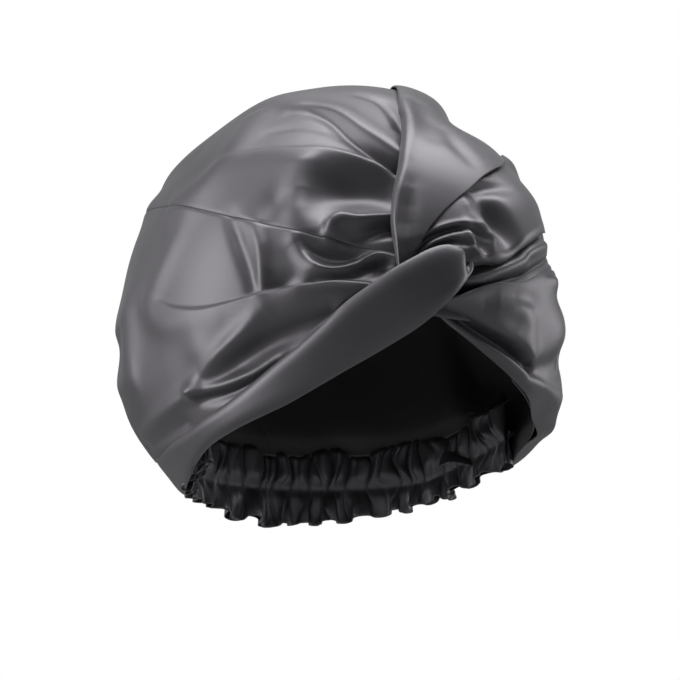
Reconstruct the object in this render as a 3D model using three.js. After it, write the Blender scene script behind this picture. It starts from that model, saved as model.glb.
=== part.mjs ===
// Silk sleep bonnet with a twisted front and a gathered elastic nape, in millimetres.
// +Z is up, the knot faces -Y, and the origin is the middle of the head opening.
// A place on the crown is given by two angles in degrees: the turn round from the knot
// (left is negative, the nape is 180) and the rise above the widest level of the crown.
import * as THREE from 'three';

// Crown, an ellipsoid
const crownHalfWidth = 110;
const crownHalfDepth = 136;
const crownHalfHeight = 126;
const crownMiddleHeight = 87;

// The right flank sits closer to the head than the ellipsoid, most of all at the shoulder above
// it, and the left flank is fuller
const flankInset = 6;
const flankBulge = 6;
const flankRadius = 33;
const shoulderInset = 8;
const shoulderRadius = 28;

// Head opening, an oval whose hem climbs from the nape to the brow, a few degrees left of the knot
const openingHalfWidth = 87;
const openingHalfDepth = 102;
const openingForward = 18;
const browHeight = 71;
const browShift = 10;

// Cloth
const clothThickness = 1.2;
const liningThickness = 0.8;
const plyGap = 0.4;
const layerGap = 0.9;
const foldHeight = 9;
const foldEnd = 6;

// Front bands
const bandBulge = 5;
const bandThickness = 2.6;
const bandEnd = 118;
const tuckTurn = -8;

// Twist at the front
const knotHeight = 11;
const flapHeight = 10.5;
const puffHeight = 10;
const coreSize = new THREE.Vector3(6, 3, 6);

// Nape casing and elastic
const casingHeight = 38;
const headingHeight = 12;
const gatherCount = 22;
const gatherDepth = 4;
const frillDepth = 4.5;
const casingRightTurn = 80;
const casingLeftTurn = 96;
const elasticWidth = 20;
const elasticThickness = 1.2;

const radians = THREE.MathUtils.degToRad;
const smooth = THREE.MathUtils.smoothstep;
const lerp = THREE.MathUtils.lerp;

// Value that passes smoothly through [at, value] stops
function through(stops, at) {
  const first = stops[0];
  const last = stops[stops.length - 1];
  if (at <= first[0]) return first[1];
  if (at >= last[0]) return last[1];
  const k = stops.findIndex((stop) => stop[0] > at);
  const slope = (i) => {
    const before = stops[Math.max(i - 1, 0)];
    const after = stops[Math.min(i + 1, stops.length - 1)];
    return (after[1] - before[1]) / (after[0] - before[0]);
  };
  const span = stops[k][0] - stops[k - 1][0];
  const u = (at - stops[k - 1][0]) / span;
  const rise = stops[k][1] - stops[k - 1][1];
  const startSlope = slope(k - 1) * span;
  const endSlope = slope(k) * span;
  const bend = (startSlope + endSlope - 2 * rise) * u + 3 * rise - 2 * startSlope - endSlope;
  return stops[k - 1][1] + u * (startSlope + u * bend);
}

const crownMiddle = new THREE.Vector3(0, 0, crownMiddleHeight);
const crownAxes = new THREE.Vector3(crownHalfWidth, crownHalfDepth, crownHalfHeight);

// Point of the plain ellipsoid at a turn and a rise
function ellipsoidAt(turn, rise) {
  const level = Math.cos(radians(rise));
  const p = new THREE.Vector3(
    level * Math.sin(radians(turn)),
    -level * Math.cos(radians(turn)),
    Math.sin(radians(rise)),
  );
  return p.multiply(crownAxes).add(crownMiddle);
}

const flankMiddles = [ellipsoidAt(40, 36), ellipsoidAt(46, 10), ellipsoidAt(58, -10), ellipsoidAt(62, 52)];
const shoulderMiddles = [ellipsoidAt(34, 51), ellipsoidAt(66, 54)];
const fullMiddle = ellipsoidAt(-114, -20);
function nearness(p, middles, radius) {
  const shares = middles.map((q) => Math.exp(-((p.distanceTo(q) / radius) ** 2)));
  return Math.min(Math.hypot(...shares), 1);
}
function insetAt(p) {
  const flank = flankInset * nearness(p, flankMiddles, flankRadius);
  const shoulder = shoulderInset * nearness(p, shoulderMiddles, shoulderRadius);
  return flank + shoulder - flankBulge * nearness(p, [fullMiddle], flankRadius);
}

// Point p of the ellipsoid carried out along its normal, less the inset of the flank
function lifted(p, lift) {
  const normal = p.clone().sub(crownMiddle).divide(crownAxes).divide(crownAxes).normalize();
  return p.clone().addScaledVector(normal, lift - insetAt(p));
}

// Point of the crown at a turn and a rise, lifted off it
function crownAt(turn, rise, lift = 0) {
  return lifted(ellipsoidAt(turn, rise), lift);
}

// Any point brought straight onto the crown, then lifted
function ontoCrown(p, lift) {
  const ray = p.clone().sub(crownMiddle);
  return lifted(ray.divideScalar(ray.clone().divide(crownAxes).length()).add(crownMiddle), lift);
}

function riseOf(height) {
  const share = (height - crownMiddleHeight) / crownHalfHeight;
  return THREE.MathUtils.radToDeg(Math.asin(THREE.MathUtils.clamp(share, -1, 1)));
}

// Angle along the crown that a length takes up
const gapAngle = THREE.MathUtils.radToDeg(plyGap / crownHalfHeight);

// Height of the hem as a share of the brow's height, counted from the brow's own turn
const hemShares = [[0, 1], [20, 0.74], [44, 0.51], [80, 0.27], [100, 0.17], [124, 0.034], [180, 0]];
function hemHeight(turn) {
  const shift = browShift * (1 - smooth(Math.abs(turn), 30, 75));
  return browHeight * through(hemShares, Math.abs(turn + shift));
}

// Point over the hem, at a height above it and set out from the opening's oval
function overHem(turn, height, out) {
  return new THREE.Vector3(
    (openingHalfWidth + out) * Math.sin(radians(turn)),
    -openingForward - (openingHalfDepth + out) * Math.cos(radians(turn)),
    hemHeight(turn) + height,
  );
}

// Rise of the crown seam, and of the line where the front band meets the side panel
const seamRise = (turn) => 4 + 12.5 * (1 - Math.cos(radians(1.5 * Math.min(Math.abs(turn), 120))));
const bandStops = [[0, 8], [18, 5], [34, -4], [50, -16], [66, -25], [92, -31], [bandEnd, -32]];
const bandRise = (turn) => through(bandStops, Math.abs(turn));

// Main folds: a route of [turn, rise] stops and how far the fold spreads above and below it
const crownFolds = [
  { route: [[-26, 29], [-38, 34], [-55, 36], [-75, 30]], height: 1, above: 10, below: 20 },
  { route: [[-33, 45], [-54, 53], [-80, 50]], height: 0.8, above: 16, below: 10 },
  { route: [[-26, 14], [-37, 15], [-52, 19]], height: 0.8, above: 9, below: 8 },
];
const sideFolds = [
  { route: [[-27, -1], [-45, -1], [-63, -3], [-82, -2]], height: 0.9, above: 5, below: 20 },
  { route: [[-40, -7], [-55, -13], [-77, -20]], height: 0.5, above: 12, below: 5 },
  { route: [[24, 7], [50, 9], [80, 6]], height: 0.8, above: 7, below: 14 },
  { route: [[34, -2], [60, -8], [85, -18]], height: 0.7, above: 6, below: 14 },
];

// Fold height at a place: an uneven ridge that dies away at the far end of its route
function foldAt(folds, turn, rise) {
  const across = radians(crownHalfWidth) * Math.cos(radians(rise));
  const up = radians(crownHalfHeight);
  let total = 0;
  for (const fold of folds) {
    const from = fold.route[0][0];
    const to = fold.route[fold.route.length - 1][0];
    const along = (turn - from) / (to - from);
    const overrun = Math.max(-along, along - 1, 0) * Math.abs(to - from) * across;
    const stops = from < to ? fold.route : fold.route.toReversed();
    const above = (rise - through(stops, turn)) * up;
    const spread = above > 0 ? fold.above : fold.below;
    const ridge = Math.exp(-((above / spread) ** 2) - (overrun / foldEnd) ** 2);
    total += foldHeight * fold.height * ridge * lerp(1, 0.4, THREE.MathUtils.clamp(along, 0, 1));
  }
  return total;
}

// Closed body between an outer and an inner grid of points, given as rows of columns
function sheetBody(outer, inner, { round = false, poles = null } = {}) {
  const rows = outer.length;
  const columns = outer[0].length;
  const points = [...outer.flat(), ...inner.flat()];
  const half = rows * columns;
  const index = [];
  const quad = (a, b, c, d) => index.push(a, b, c, a, c, d);
  const at = (row, column) => row * columns + (column % columns);
  const steps = round ? columns : columns - 1;
  for (let i = 0; i < steps; i += 1) {
    for (let j = 0; j < rows - 1; j += 1) {
      quad(at(j, i), at(j, i + 1), at(j + 1, i + 1), at(j + 1, i));
      quad(half + at(j, i), half + at(j + 1, i), half + at(j + 1, i + 1), half + at(j, i + 1));
    }
    quad(half + at(0, i), half + at(0, i + 1), at(0, i + 1), at(0, i));
    const last = rows - 1;
    if (poles) {
      index.push(at(last, i), at(last, i + 1), 2 * half);
      index.push(half + at(last, i + 1), half + at(last, i), 2 * half + 1);
    } else {
      quad(at(last, i), at(last, i + 1), half + at(last, i + 1), half + at(last, i));
    }
  }
  if (poles) points.push(...poles);
  if (!round) {
    for (let j = 0; j < rows - 1; j += 1) {
      quad(at(j, 0), at(j + 1, 0), half + at(j + 1, 0), half + at(j, 0));
      const end = columns - 1;
      quad(half + at(j, end), half + at(j + 1, end), at(j + 1, end), at(j, end));
    }
  }
  const body = new THREE.BufferGeometry().setFromPoints(points);
  body.setIndex(index);
  return body;
}

// Grid of points over shares u across and v up
function grid(columns, rows, pointAt, round = false) {
  const across = round ? columns : columns - 1;
  return Array.from({ length: rows }, (_, j) => (
    Array.from({ length: columns }, (__, i) => pointAt(i / across, j / (rows - 1)))
  ));
}

// Closed body through rings of points, with a flat fan over each end
function loftBody(rings) {
  const sides = rings[0].length;
  const points = rings.flat();
  const index = [];
  for (let k = 0; k < rings.length - 1; k += 1) {
    for (let i = 0; i < sides; i += 1) {
      const next = (i + 1) % sides;
      const [a, b] = [k * sides + i, k * sides + next];
      index.push(a, b, b + sides, a, b + sides, a + sides);
    }
  }
  const close = (ring, start, order) => {
    const middle = new THREE.Vector3();
    ring.forEach((p) => middle.addScaledVector(p, 1 / sides));
    points.push(middle);
    for (let i = 0; i < sides; i += 1) {
      const pair = [start + i, start + (i + 1) % sides];
      index.push(points.length - 1, pair[order], pair[1 - order]);
    }
  };
  close(rings[0], 0, 1);
  close(rings[rings.length - 1], (rings.length - 1) * sides, 0);
  const body = new THREE.BufferGeometry().setFromPoints(points);
  body.setIndex(index);
  return body;
}

// Crown ply over the whole cap, down to the crown seam
function crownPly([columns, rows], lift, thickness, folds) {
  const poleRise = 82;
  const place = (depth) => (u, v) => {
    const turn = -180 + 360 * u;
    const rise = lerp(seamRise(turn) + gapAngle, poleRise, v ** 1.2);
    return crownAt(turn, rise, lift - depth + foldAt(folds, turn, rise));
  };
  const outer = grid(columns, rows, place(0), true);
  const inner = grid(columns, rows, place(thickness), true);
  const poles = [crownAt(0, 90, lift), crownAt(0, 90, lift - thickness)];
  return sheetBody(outer, inner, { round: true, poles });
}

// Lower edge of a side ply: the band's line in front, the top of the casing behind.
// Between the two turns of a change it climbs first and then draws in over the casing.
function sideEdge(turn, change, casingOut) {
  const front = crownAt(turn, bandRise(turn) + gapAngle);
  const back = overHem(turn, casingHeight + plyGap, casingOut);
  const climbed = smooth(Math.abs(turn), change[0], lerp(change[0], change[1], 0.6));
  const drawnIn = smooth(Math.abs(turn), lerp(change[0], change[1], 0.4), change[1]);
  const height = lerp(front.z, back.z, climbed);
  return front.lerp(back, drawnIn).setZ(height);
}

// Side ply between the crown seam and its lower edge, drawn in towards that edge
function sidePly(side, [columns, rows], lift, thickness, folds, change, casingOut) {
  const tip = 21;
  const centreBack = 180 - THREE.MathUtils.radToDeg(plyGap / crownHalfDepth);
  const place = (depth) => (u, v) => {
    const turn = side * lerp(tip, centreBack, side > 0 ? u : 1 - u);
    const edge = sideEdge(turn, change, casingOut);
    const low = riseOf(edge.z);
    const rise = lerp(low, seamRise(turn) - gapAngle, v);
    const drawn = edge.sub(crownAt(turn, low));
    const gathers = gatherDepth * 0.5 * (1 - Math.cos(radians(gatherCount * turn)));
    const nape = smooth(Math.abs(turn), 125, 150) * (1 - smooth(v, 0.05, 0.6)) * smooth(v, 0, 0.05);
    const relief = (foldAt(folds, turn, rise) + gathers * nape) * smooth(v, 0, 0.1);
    return crownAt(turn, rise, lift - depth + relief)
      .addScaledVector(drawn, (1 - v) ** 2 * (1 + 2 * v));
  };
  return sheetBody(grid(columns, rows, place(0)), grid(columns, rows, place(thickness)));
}

// Ring of a band: a flat back and a swelling front between its lower and upper edges
function bandRing(low, high, out) {
  const ring = [];
  const steps = 4;
  for (let i = 0; i <= steps; i += 1) {
    const u = i / steps;
    const swell = bandThickness / 2 + bandBulge * Math.sin(Math.PI * u);
    ring.push(low.clone().lerp(high, u).addScaledVector(out, swell));
  }
  for (let i = steps; i >= 0; i -= 1) {
    const u = i / steps;
    const back = 0.4 * bandBulge * Math.sin(Math.PI * u) - bandThickness / 2;
    ring.push(low.clone().lerp(high, u).addScaledVector(out, back));
  }
  return ring;
}

// Front band along the hem; the left one then climbs and laps over the knot
const bandHeight = bandThickness / 2;
function bandStation(turn) {
  const top = Math.min(bandRise(turn), seamRise(turn)) - gapAngle * 2;
  return {
    high: crownAt(turn, top, -bandThickness),
    low: overHem(turn, bandHeight, bandThickness),
  };
}
const lapStations = [
  { high: [-19, 5, 0.5], low: [-21, -11, -0.5] },
  { high: [-11, 8, 1], low: [-13, -6, 0.5] },
  { high: [-6, 8, 0.9], low: [-9, -3, 0.8] },
  { high: [-2.5, 6, 0.6], low: [-5, -1, 0.6] },
  { high: [-2, 3, 0.4], low: [-4, -2, 0.4] },
];

function frontBand(side) {
  const bandSteps = 22;
  const start = side > 0 ? tuckTurn : 28;
  const stations = [];
  for (let k = 0; k <= bandSteps; k += 1) {
    stations.push(bandStation(side * lerp(bandEnd, start, k / bandSteps)));
  }
  if (side < 0) {
    for (const lap of lapStations) {
      const place = ([turn, rise, share]) => crownAt(turn, rise, share * knotHeight);
      stations.push({ high: place(lap.high), low: place(lap.low) });
    }
  }
  const rings = stations.map(({ high, low }, k) => {
    const before = stations[Math.max(k - 1, 0)];
    const after = stations[Math.min(k + 1, stations.length - 1)];
    const along = after.low.clone().add(after.high).sub(before.low).sub(before.high);
    const out = high.clone().sub(low).cross(along).normalize().multiplyScalar(side);
    return bandRing(low, high, out);
  });
  return loftBody(side > 0 ? rings : rings.toReversed());
}

// Drape between two edge lines on the crown, lifted by a height over its shares
function drapeBody(edges, [columns, rows], liftAt) {
  const curves = edges.map((edge) => (
    new THREE.CatmullRomCurve3(edge.map(([turn, rise]) => crownAt(turn, rise)))
  ));
  const place = (depth) => (u, v) => {
    const p = curves[0].getPoint(v).lerp(curves[1].getPoint(v), u);
    return ontoCrown(p, layerGap + clothThickness - depth + liftAt(u, v));
  };
  return sheetBody(grid(columns, rows, place(0)), grid(columns, rows, place(clothThickness)));
}

// Flap over the crown: rolled along its left edge, narrowing into the knot
const flapEdges = [
  [[-24, 11], [-22, 24], [-17, 42], [-9, 58], [40, 76], [120, 66], [140, 32]],
  [[-17, 11], [-12, 16], [-4, 22], [6, 29], [20, 37], [50, 46], [86, 43], [106, 30]],
];
function flapLiftAt(u, v) {
  return flapHeight * (1 - 0.6 * u) * (1 - 0.8 * smooth(v, 0.22, 0.55)) * (1 - smooth(v, 0.5, 1));
}

// Puff beside the knot: a swollen bunch with pleats that fan out of the knot
const puffEdges = [
  [[-16, 10], [-11, 15], [-3, 21], [7, 28], [21, 36], [51, 45], [86, 42], [105, 29.5]],
  [[-3, 7.5], [6, 8], [14, 11], [23, 15], [40, 18], [62, 21], [86, 26], [101, 28.5]],
];
function puffLiftAt(u, v) {
  const pleats = 1 - 0.3 * (1 - v) * (1 - Math.cos(6 * Math.PI * u)) / 2;
  const along = smooth(v, -0.2, 0.2) * (1 - smooth(v, 0.2, 0.5));
  return puffHeight * Math.sin(Math.PI * u) ** 0.7 * pleats * along;
}

// Strip of the casing: gathered over the elastic channel, with a frilled heading below it
function casingStrip(side) {
  const stepsPerGather = 4;
  const columns = gatherCount * stepsPerGather + 1;
  const channel = elasticThickness / 2 + plyGap;
  const levels = [0, headingHeight, casingHeight];
  const place = (depth) => (u, v) => {
    const turn = lerp(casingRightTurn, 360 - casingLeftTurn, u);
    const fall = turn > 180 ? turn - 360 : turn;
    const wave = Math.sin(2 * Math.PI * gatherCount * u);
    const height = levels[Math.round(v * (levels.length - 1))];
    const frill = frillDepth * wave * (1 - smooth(height, 0, headingHeight));
    const above = smooth(height, headingHeight, headingHeight + 1);
    const puff = gatherDepth * 0.5 * (1 + wave) * above;
    const out = side * (channel + puff + (side > 0 ? clothThickness - depth : depth)) + frill;
    return overHem(fall, height, out - channel - clothThickness - gatherDepth);
  };
  const faces = [0, clothThickness].map((depth) => grid(columns, levels.length, place(depth)));
  return sheetBody(faces[0], faces[1]);
}

// Elastic in the channel between the two strips
function elasticBand() {
  const columns = 48;
  const lowest = headingHeight + (casingHeight - headingHeight - elasticWidth) / 2;
  const place = (depth) => (u, v) => {
    const turn = lerp(casingRightTurn + 1, 359 - casingLeftTurn, u);
    const fall = turn > 180 ? turn - 360 : turn;
    const out = -plyGap - clothThickness - gatherDepth - depth;
    return overHem(fall, lowest + elasticWidth * v, out);
  };
  return sheetBody(grid(columns, 2, place(0)), grid(columns, 2, place(elasticThickness)));
}

// Gathered ends of the wrap, sewn together behind the lapping band
function twistCore() {
  const place = crownAt(-12.5, -1, 0);
  return new THREE.SphereGeometry(1, 16, 10)
    .scale(coreSize.x, coreSize.y, coreSize.z)
    .translate(place.x, place.y, place.z);
}

const satin = { color: 0x57555a, roughness: 0.38, metalness: 0 };
const liningSatin = { color: 0x2a2a2c, roughness: 0.5, metalness: 0 };
const elasticKnit = { color: 0x1c1c1e, roughness: 0.9, metalness: 0 };

const bonnet = new THREE.Group();
function addPiece(name, body, finish) {
  body.computeVertexNormals();
  const piece = new THREE.Mesh(body, new THREE.MeshStandardMaterial(finish));
  piece.name = name;
  bonnet.add(piece);
}

// Columns and rows of each ply
const crownGrid = [52, 12];
const sideGrid = [26, 11];
const crownLiningGrid = [52, 12];
const sideLiningGrid = [24, 7];
const flapGrid = [9, 22];
const puffGrid = [15, 28];

// Turns between which a side ply's lower edge goes over from the band to the casing
const outerChange = [bandEnd - 10, bandEnd + 22];
const liningChange = (end) => [end - 14, end - 1];
const liningLift = -clothThickness - layerGap;
const casingMiddle = -plyGap - clothThickness - gatherDepth;
const outerCasingOut = casingMiddle + clothThickness;
const innerCasingOut = casingMiddle - clothThickness;

function outerSide(side) {
  return sidePly(side, sideGrid, 0, clothThickness, sideFolds, outerChange, outerCasingOut);
}
function innerSide(side) {
  const change = liningChange(side > 0 ? casingRightTurn : casingLeftTurn);
  return sidePly(side, sideLiningGrid, liningLift, liningThickness, [], change, innerCasingOut);
}

addPiece('crown_panel', crownPly(crownGrid, 0, clothThickness, crownFolds), satin);
addPiece('side_panel_left', outerSide(-1), satin);
addPiece('side_panel_right', outerSide(1), satin);
addPiece('front_band_left', frontBand(-1), satin);
addPiece('front_band_right', frontBand(1), satin);
addPiece('twist_flap', drapeBody(flapEdges, flapGrid, flapLiftAt), satin);
addPiece('twist_puff', drapeBody(puffEdges, puffGrid, puffLiftAt), satin);
addPiece('twist_core', twistCore(), satin);
addPiece('lining_crown', crownPly(crownLiningGrid, liningLift, liningThickness, []), liningSatin);
addPiece('lining_left', innerSide(-1), liningSatin);
addPiece('lining_right', innerSide(1), liningSatin);
addPiece('nape_casing_outer', casingStrip(1), satin);
addPiece('nape_casing_inner', casingStrip(-1), satin);
addPiece('nape_elastic', elasticBand(), elasticKnit);

export default bonnet;
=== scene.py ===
import math
import bpy
import numpy as np
from mathutils import Matrix


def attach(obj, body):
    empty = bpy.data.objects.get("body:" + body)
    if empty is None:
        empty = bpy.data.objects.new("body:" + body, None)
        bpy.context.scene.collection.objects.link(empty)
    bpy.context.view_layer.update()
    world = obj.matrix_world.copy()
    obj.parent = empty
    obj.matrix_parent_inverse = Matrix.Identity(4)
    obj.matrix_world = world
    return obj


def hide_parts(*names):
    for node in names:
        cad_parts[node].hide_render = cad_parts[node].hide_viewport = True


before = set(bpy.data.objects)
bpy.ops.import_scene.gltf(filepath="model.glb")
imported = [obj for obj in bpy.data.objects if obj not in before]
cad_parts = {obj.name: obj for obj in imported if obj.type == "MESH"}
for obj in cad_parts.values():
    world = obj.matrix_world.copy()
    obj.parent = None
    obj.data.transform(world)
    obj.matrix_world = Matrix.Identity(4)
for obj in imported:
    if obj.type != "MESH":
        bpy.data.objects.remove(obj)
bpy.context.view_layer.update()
toMetres = 0.001  # every shape below is worked out in millimetres

bonnet = {
    "middle": (0.0, 0.0, 87.0),     # centre of the dome that the cloth follows
    "axes": (110.0, 136.0, 126.0),
    "openingHalfWidth": 87.0,
    "openingHalfDepth": 102.0,
    "openingForward": 18.0,
    "browHeight": 71.0,
    "browShift": 10.0,              # the brow is highest a little left of the knot
    "hemShares": [(0, 1), (20, 0.74), (44, 0.51), (80, 0.27), (100, 0.17), (124, 0.034), (180, 0)],
    "leftBandRises": [(0, 8), (18, 5), (34, -4), (50, -16), (66, -25), (92, -31), (118, -32)],
    "rightBandRises": [(-20, -8), (-7, -2.7), (2, 0.4), (12, 2.1), (18, 4.2), (24, 6.2), (31, 7),
                       (40, 3), (50, -6), (66, -21), (92, -31), (118, -32)],
    "hemRoll": 5.5,                 # how far the hem is rolled inwards beside the right cheek
    "hemRollTurns": (26, 46, 72, 96),
    "lookInTurns": (26, 40, 96, 120),   # where one looks in behind the right band
    "casingHeight": 38.0,
}
domeMiddle = np.array(bonnet["middle"])
domeAxes = np.array(bonnet["axes"])

photoView = {
    "azimuth": -30.0,
    "elevation": -10.0,
    "distance": 1326.0,
    "aim": (0.0, 0.0, 81.3),
    "lens": 135.0,
    "sensor": 36.0,
    "pixels": 680,
    "farClip": 20.0,
}


def direction(azimuth, elevation):
    a, e = math.radians(azimuth), math.radians(elevation)
    return np.array([math.sin(a) * math.cos(e), -math.cos(a) * math.cos(e), math.sin(e)])


viewBack = direction(photoView["azimuth"], photoView["elevation"])
viewRight = direction(photoView["azimuth"] + 90, 0)
viewUp = np.cross(viewBack, viewRight)
viewAim = np.array(photoView["aim"])
viewEye = viewAim + viewBack * photoView["distance"]
pixelSize = photoView["sensor"] / photoView["lens"] * photoView["distance"] / photoView["pixels"]


def unit(v):
    return v / np.maximum(np.linalg.norm(v, axis=-1, keepdims=True), 1e-9)


def smooth(x, low, high):
    t = np.clip((x - low) / (high - low), 0, 1)
    return t * t * (3 - 2 * t)


def mixed(a, b, share):
    return a + (b - a) * share


# one between the two inner stops, fading to nothing at the outer ones
def between(x, stops):
    return smooth(x, *stops[:2]) * (1 - smooth(x, *stops[2:]))


# smooth value through (at, value) stops
def through(stops, at):
    xs, ys = np.array(stops, float).T
    order = np.arange(len(xs))
    before, after = np.maximum(order - 1, 0), np.minimum(order + 1, len(xs) - 1)
    slopes = (ys[after] - ys[before]) / (xs[after] - xs[before])
    at = np.clip(at, xs[0], xs[-1])
    k = np.clip(np.searchsorted(xs, at, side="right"), 1, len(xs) - 1)
    span, climb = xs[k] - xs[k - 1], ys[k] - ys[k - 1]
    u = (at - xs[k - 1]) / span
    start, end = slopes[k - 1] * span, slopes[k] * span
    bend = (start + end - 2 * climb) * u + 3 * climb - 2 * start - end
    return ys[k - 1] + u * (start + u * bend)


def domeNormal(p):
    return unit((p - domeMiddle) / domeAxes ** 2)


def lifted(p, lift):
    return p + domeNormal(p) * np.asarray(lift, float)[..., None]


# turn goes round from the knot, left is negative; rise goes up from the widest level
def domeAt(turn, rise, lift=0.0):
    t, r = np.radians(turn), np.radians(rise)
    p = np.stack([np.cos(r) * np.sin(t), -np.cos(r) * np.cos(t), np.sin(r) + 0 * t], -1)
    return lifted(p * domeAxes + domeMiddle, lift + 0 * t)


def ontoDome(p):
    ray = p - domeMiddle
    return ray / np.linalg.norm(ray / domeAxes, axis=-1, keepdims=True) + domeMiddle


def riseOf(height):
    share = np.clip((height - domeMiddle[2]) / domeAxes[2], -1, 1)
    return np.degrees(np.arcsin(share))


# places on the dome that lie behind pixels of the photograph
def seen(pixels, lift=0.0):
    px = np.array(pixels, float).reshape(-1, 2)
    half = photoView["pixels"] / 2
    ray = -viewBack * photoView["distance"] + (px[:, :1] - half) * pixelSize * viewRight
    ray = unit(ray + (half - px[:, 1:]) * pixelSize * viewUp)
    axes = domeAxes + lift
    start, step = (viewEye - domeMiddle) / axes, ray / axes
    a, b = (step * step).sum(1), (step * start).sum(1)
    inside = np.maximum(b * b - a * ((start * start).sum() - 1), 0)
    far = (-b - np.sqrt(inside)) / a
    return ontoDome(viewEye + ray * far[:, None])


def placed(stops):
    turn, rise = np.array(stops, float).T
    return domeAt(turn, rise)


# base points under the places where a sheet shows at pixels of the photograph
def shown(pixels, base, sheet):
    offset = sheet - viewEye
    depth = -offset @ viewBack
    flat = np.stack([offset @ viewRight, -offset @ viewUp], -1) / depth[:, None]
    flat = flat * photoView["distance"] / pixelSize + photoView["pixels"] / 2
    found = []
    for pixel in np.array(pixels, float):
        apart = np.linalg.norm(flat - pixel, axis=1)
        near = np.flatnonzero(apart < apart.min() + 1.5)
        found.append(base[near[depth[near].argmin()]])
    return np.array(found)


# even points along a smooth curve through the given ones
def smoothLine(points, step=None, count=None):
    p = np.asarray(points, float)
    p = np.vstack([2 * p[0] - p[1], p, 2 * p[-1] - p[-2]])
    u = np.linspace(0, 1, 24, endpoint=False)[:, None]
    parts = []
    for k in range(1, len(p) - 2):
        a, b, c, d = p[k - 1], p[k], p[k + 1], p[k + 2]
        bend = (2 * a - 5 * b + 4 * c - d) * u ** 2 + (3 * b - a - 3 * c + d) * u ** 3
        parts.append(0.5 * (2 * b + (c - a) * u + bend))
    dense = np.vstack(parts + [p[-2:-1]])
    run = np.r_[0, np.cumsum(np.linalg.norm(np.diff(dense, axis=0), axis=1))]
    count = count or max(int(run[-1] / step) + 1, 4)
    even = np.linspace(0, run[-1], count)
    return np.stack([np.interp(even, run, dense[:, i]) for i in range(dense.shape[1])], -1)


# One fold: a line on the dome, heights along it, and how far it spreads over and under
# the line (for a line drawn from left to right, over is the upper side).
# lean pushes its crest sideways: positive leans to the over side.
def fold(line, height, over, under, lean=0.0, end=5.0):
    heights = np.atleast_1d(np.array(height, float))
    return {"line": line, "heights": heights, "over": over, "under": under, "lean": lean, "end": end}


# One dent or swelling: oval across the dome, size in mm, turned by tilt
def dent(centre, height, wide, tall, tilt=0.0):
    return {"centre": centre, "height": height, "wide": wide, "tall": tall, "tilt": tilt}


def seenDent(pixel, *shape, lift=0.0):
    return dent(seen([pixel], lift)[0], *shape)


def placedDent(place, *shape):
    return dent(placed([place])[0], *shape)


def foldField(base, folds, dents=()):
    height = np.zeros(len(base))
    shift = np.zeros_like(base)
    for item in folds:
        line = smoothLine(item["line"], step=1.2)
        # further away the fold is too low to show
        reach = 2.4 * max(item["over"], item["under"], item["end"])
        close = (base > line.min(0) - reach).all(1) & (base < line.max(0) + reach).all(1)
        chosen = np.flatnonzero(close)
        if not len(chosen):
            continue
        p = base[chosen]
        apart = (p * p).sum(1)[:, None] + (line * line).sum(1)[None] - 2 * p @ line.T
        nearest = apart.argmin(1)
        heading = unit(np.gradient(line, axis=0))
        offset = p - line[nearest]
        along = (offset * heading[nearest]).sum(1)
        beyond = np.where(nearest == 0, np.maximum(-along, 0), 0)
        beyond = beyond + np.where(nearest == len(line) - 1, np.maximum(along, 0), 0)
        across = offset - along[:, None] * heading[nearest]
        normal = domeNormal(line[nearest])
        overSide = np.cross(normal, heading[nearest])
        signed = (across * overSide).sum(1)
        spread = np.where(signed > 0, item["over"], item["under"])
        spacing = np.linalg.norm(line[1] - line[0])
        share = np.clip((nearest + along / spacing) / (len(line) - 1), 0, 1)
        stops = np.linspace(0, 1, len(item["heights"]))
        tall = np.interp(share, stops, item["heights"])
        bell = np.exp(-(signed / spread) ** 2 - (beyond / item["end"]) ** 2)
        height[chosen] += tall * bell
        if item["lean"]:
            strength = tall / max(abs(item["heights"]).max(), 1e-6)
            shift[chosen] += (item["lean"] * strength * bell)[:, None] * overSide
    for item in dents:
        normal = domeNormal(item["centre"])
        east = unit(np.cross([0.0, 0.0, 1.0], normal))
        north = np.cross(normal, east)
        tilt = math.radians(item["tilt"])
        across = math.cos(tilt) * east + math.sin(tilt) * north
        upward = math.cos(tilt) * north - math.sin(tilt) * east
        offset = base - item["centre"]
        u, v = offset @ across / item["wide"], offset @ upward / item["tall"]
        nearSide = offset @ normal > -60
        height += item["height"] * np.exp(-u * u - v * v) * nearSide
    return height, shift


# Cloth from a grid of points: rows go up, columns go to the right seen from outside
def clothMesh(name, grid, wrap=False, top=False, bottom=False):
    rows, columns = grid.shape[:2]
    index = np.arange(rows * columns).reshape(rows, columns)
    if wrap:
        index = np.hstack([index, index[:, :1]])
    quads = np.stack([index[:-1, :-1], index[:-1, 1:], index[1:, 1:], index[1:, :-1]], -1)
    faces = quads.reshape(-1, 4).tolist()
    points = grid.reshape(-1, 3)
    for closed, row, ring in ((top, -1, index[-1]), (bottom, 0, index[0][::-1])):
        if closed:
            middle = len(points)
            points = np.vstack([points, grid[row].mean(0)])
            faces += [[int(a), int(b), middle] for a, b in zip(ring[:-1], ring[1:])]
    mesh = bpy.data.meshes.new(name)
    mesh.from_pydata((points * toMetres).tolist(), [], faces)
    mesh.polygons.foreach_set("use_smooth", np.ones(len(mesh.polygons), bool))
    across = np.linalg.norm(np.diff(grid[rows // 2], axis=0), axis=1)
    upward = np.linalg.norm(np.diff(grid[:, columns // 2], axis=0), axis=1)
    u = np.r_[0, np.cumsum(across), across.sum() * (1 + 1 / columns)][: columns + 1] * toMetres
    v = np.r_[0, np.cumsum(upward)] * toMetres
    addWeaveMap(mesh, u, v, rows - 1, index.shape[1] - 1)
    mesh.update()
    piece = bpy.data.objects.new(name, mesh)
    bpy.context.scene.collection.objects.link(piece)
    return piece


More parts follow.
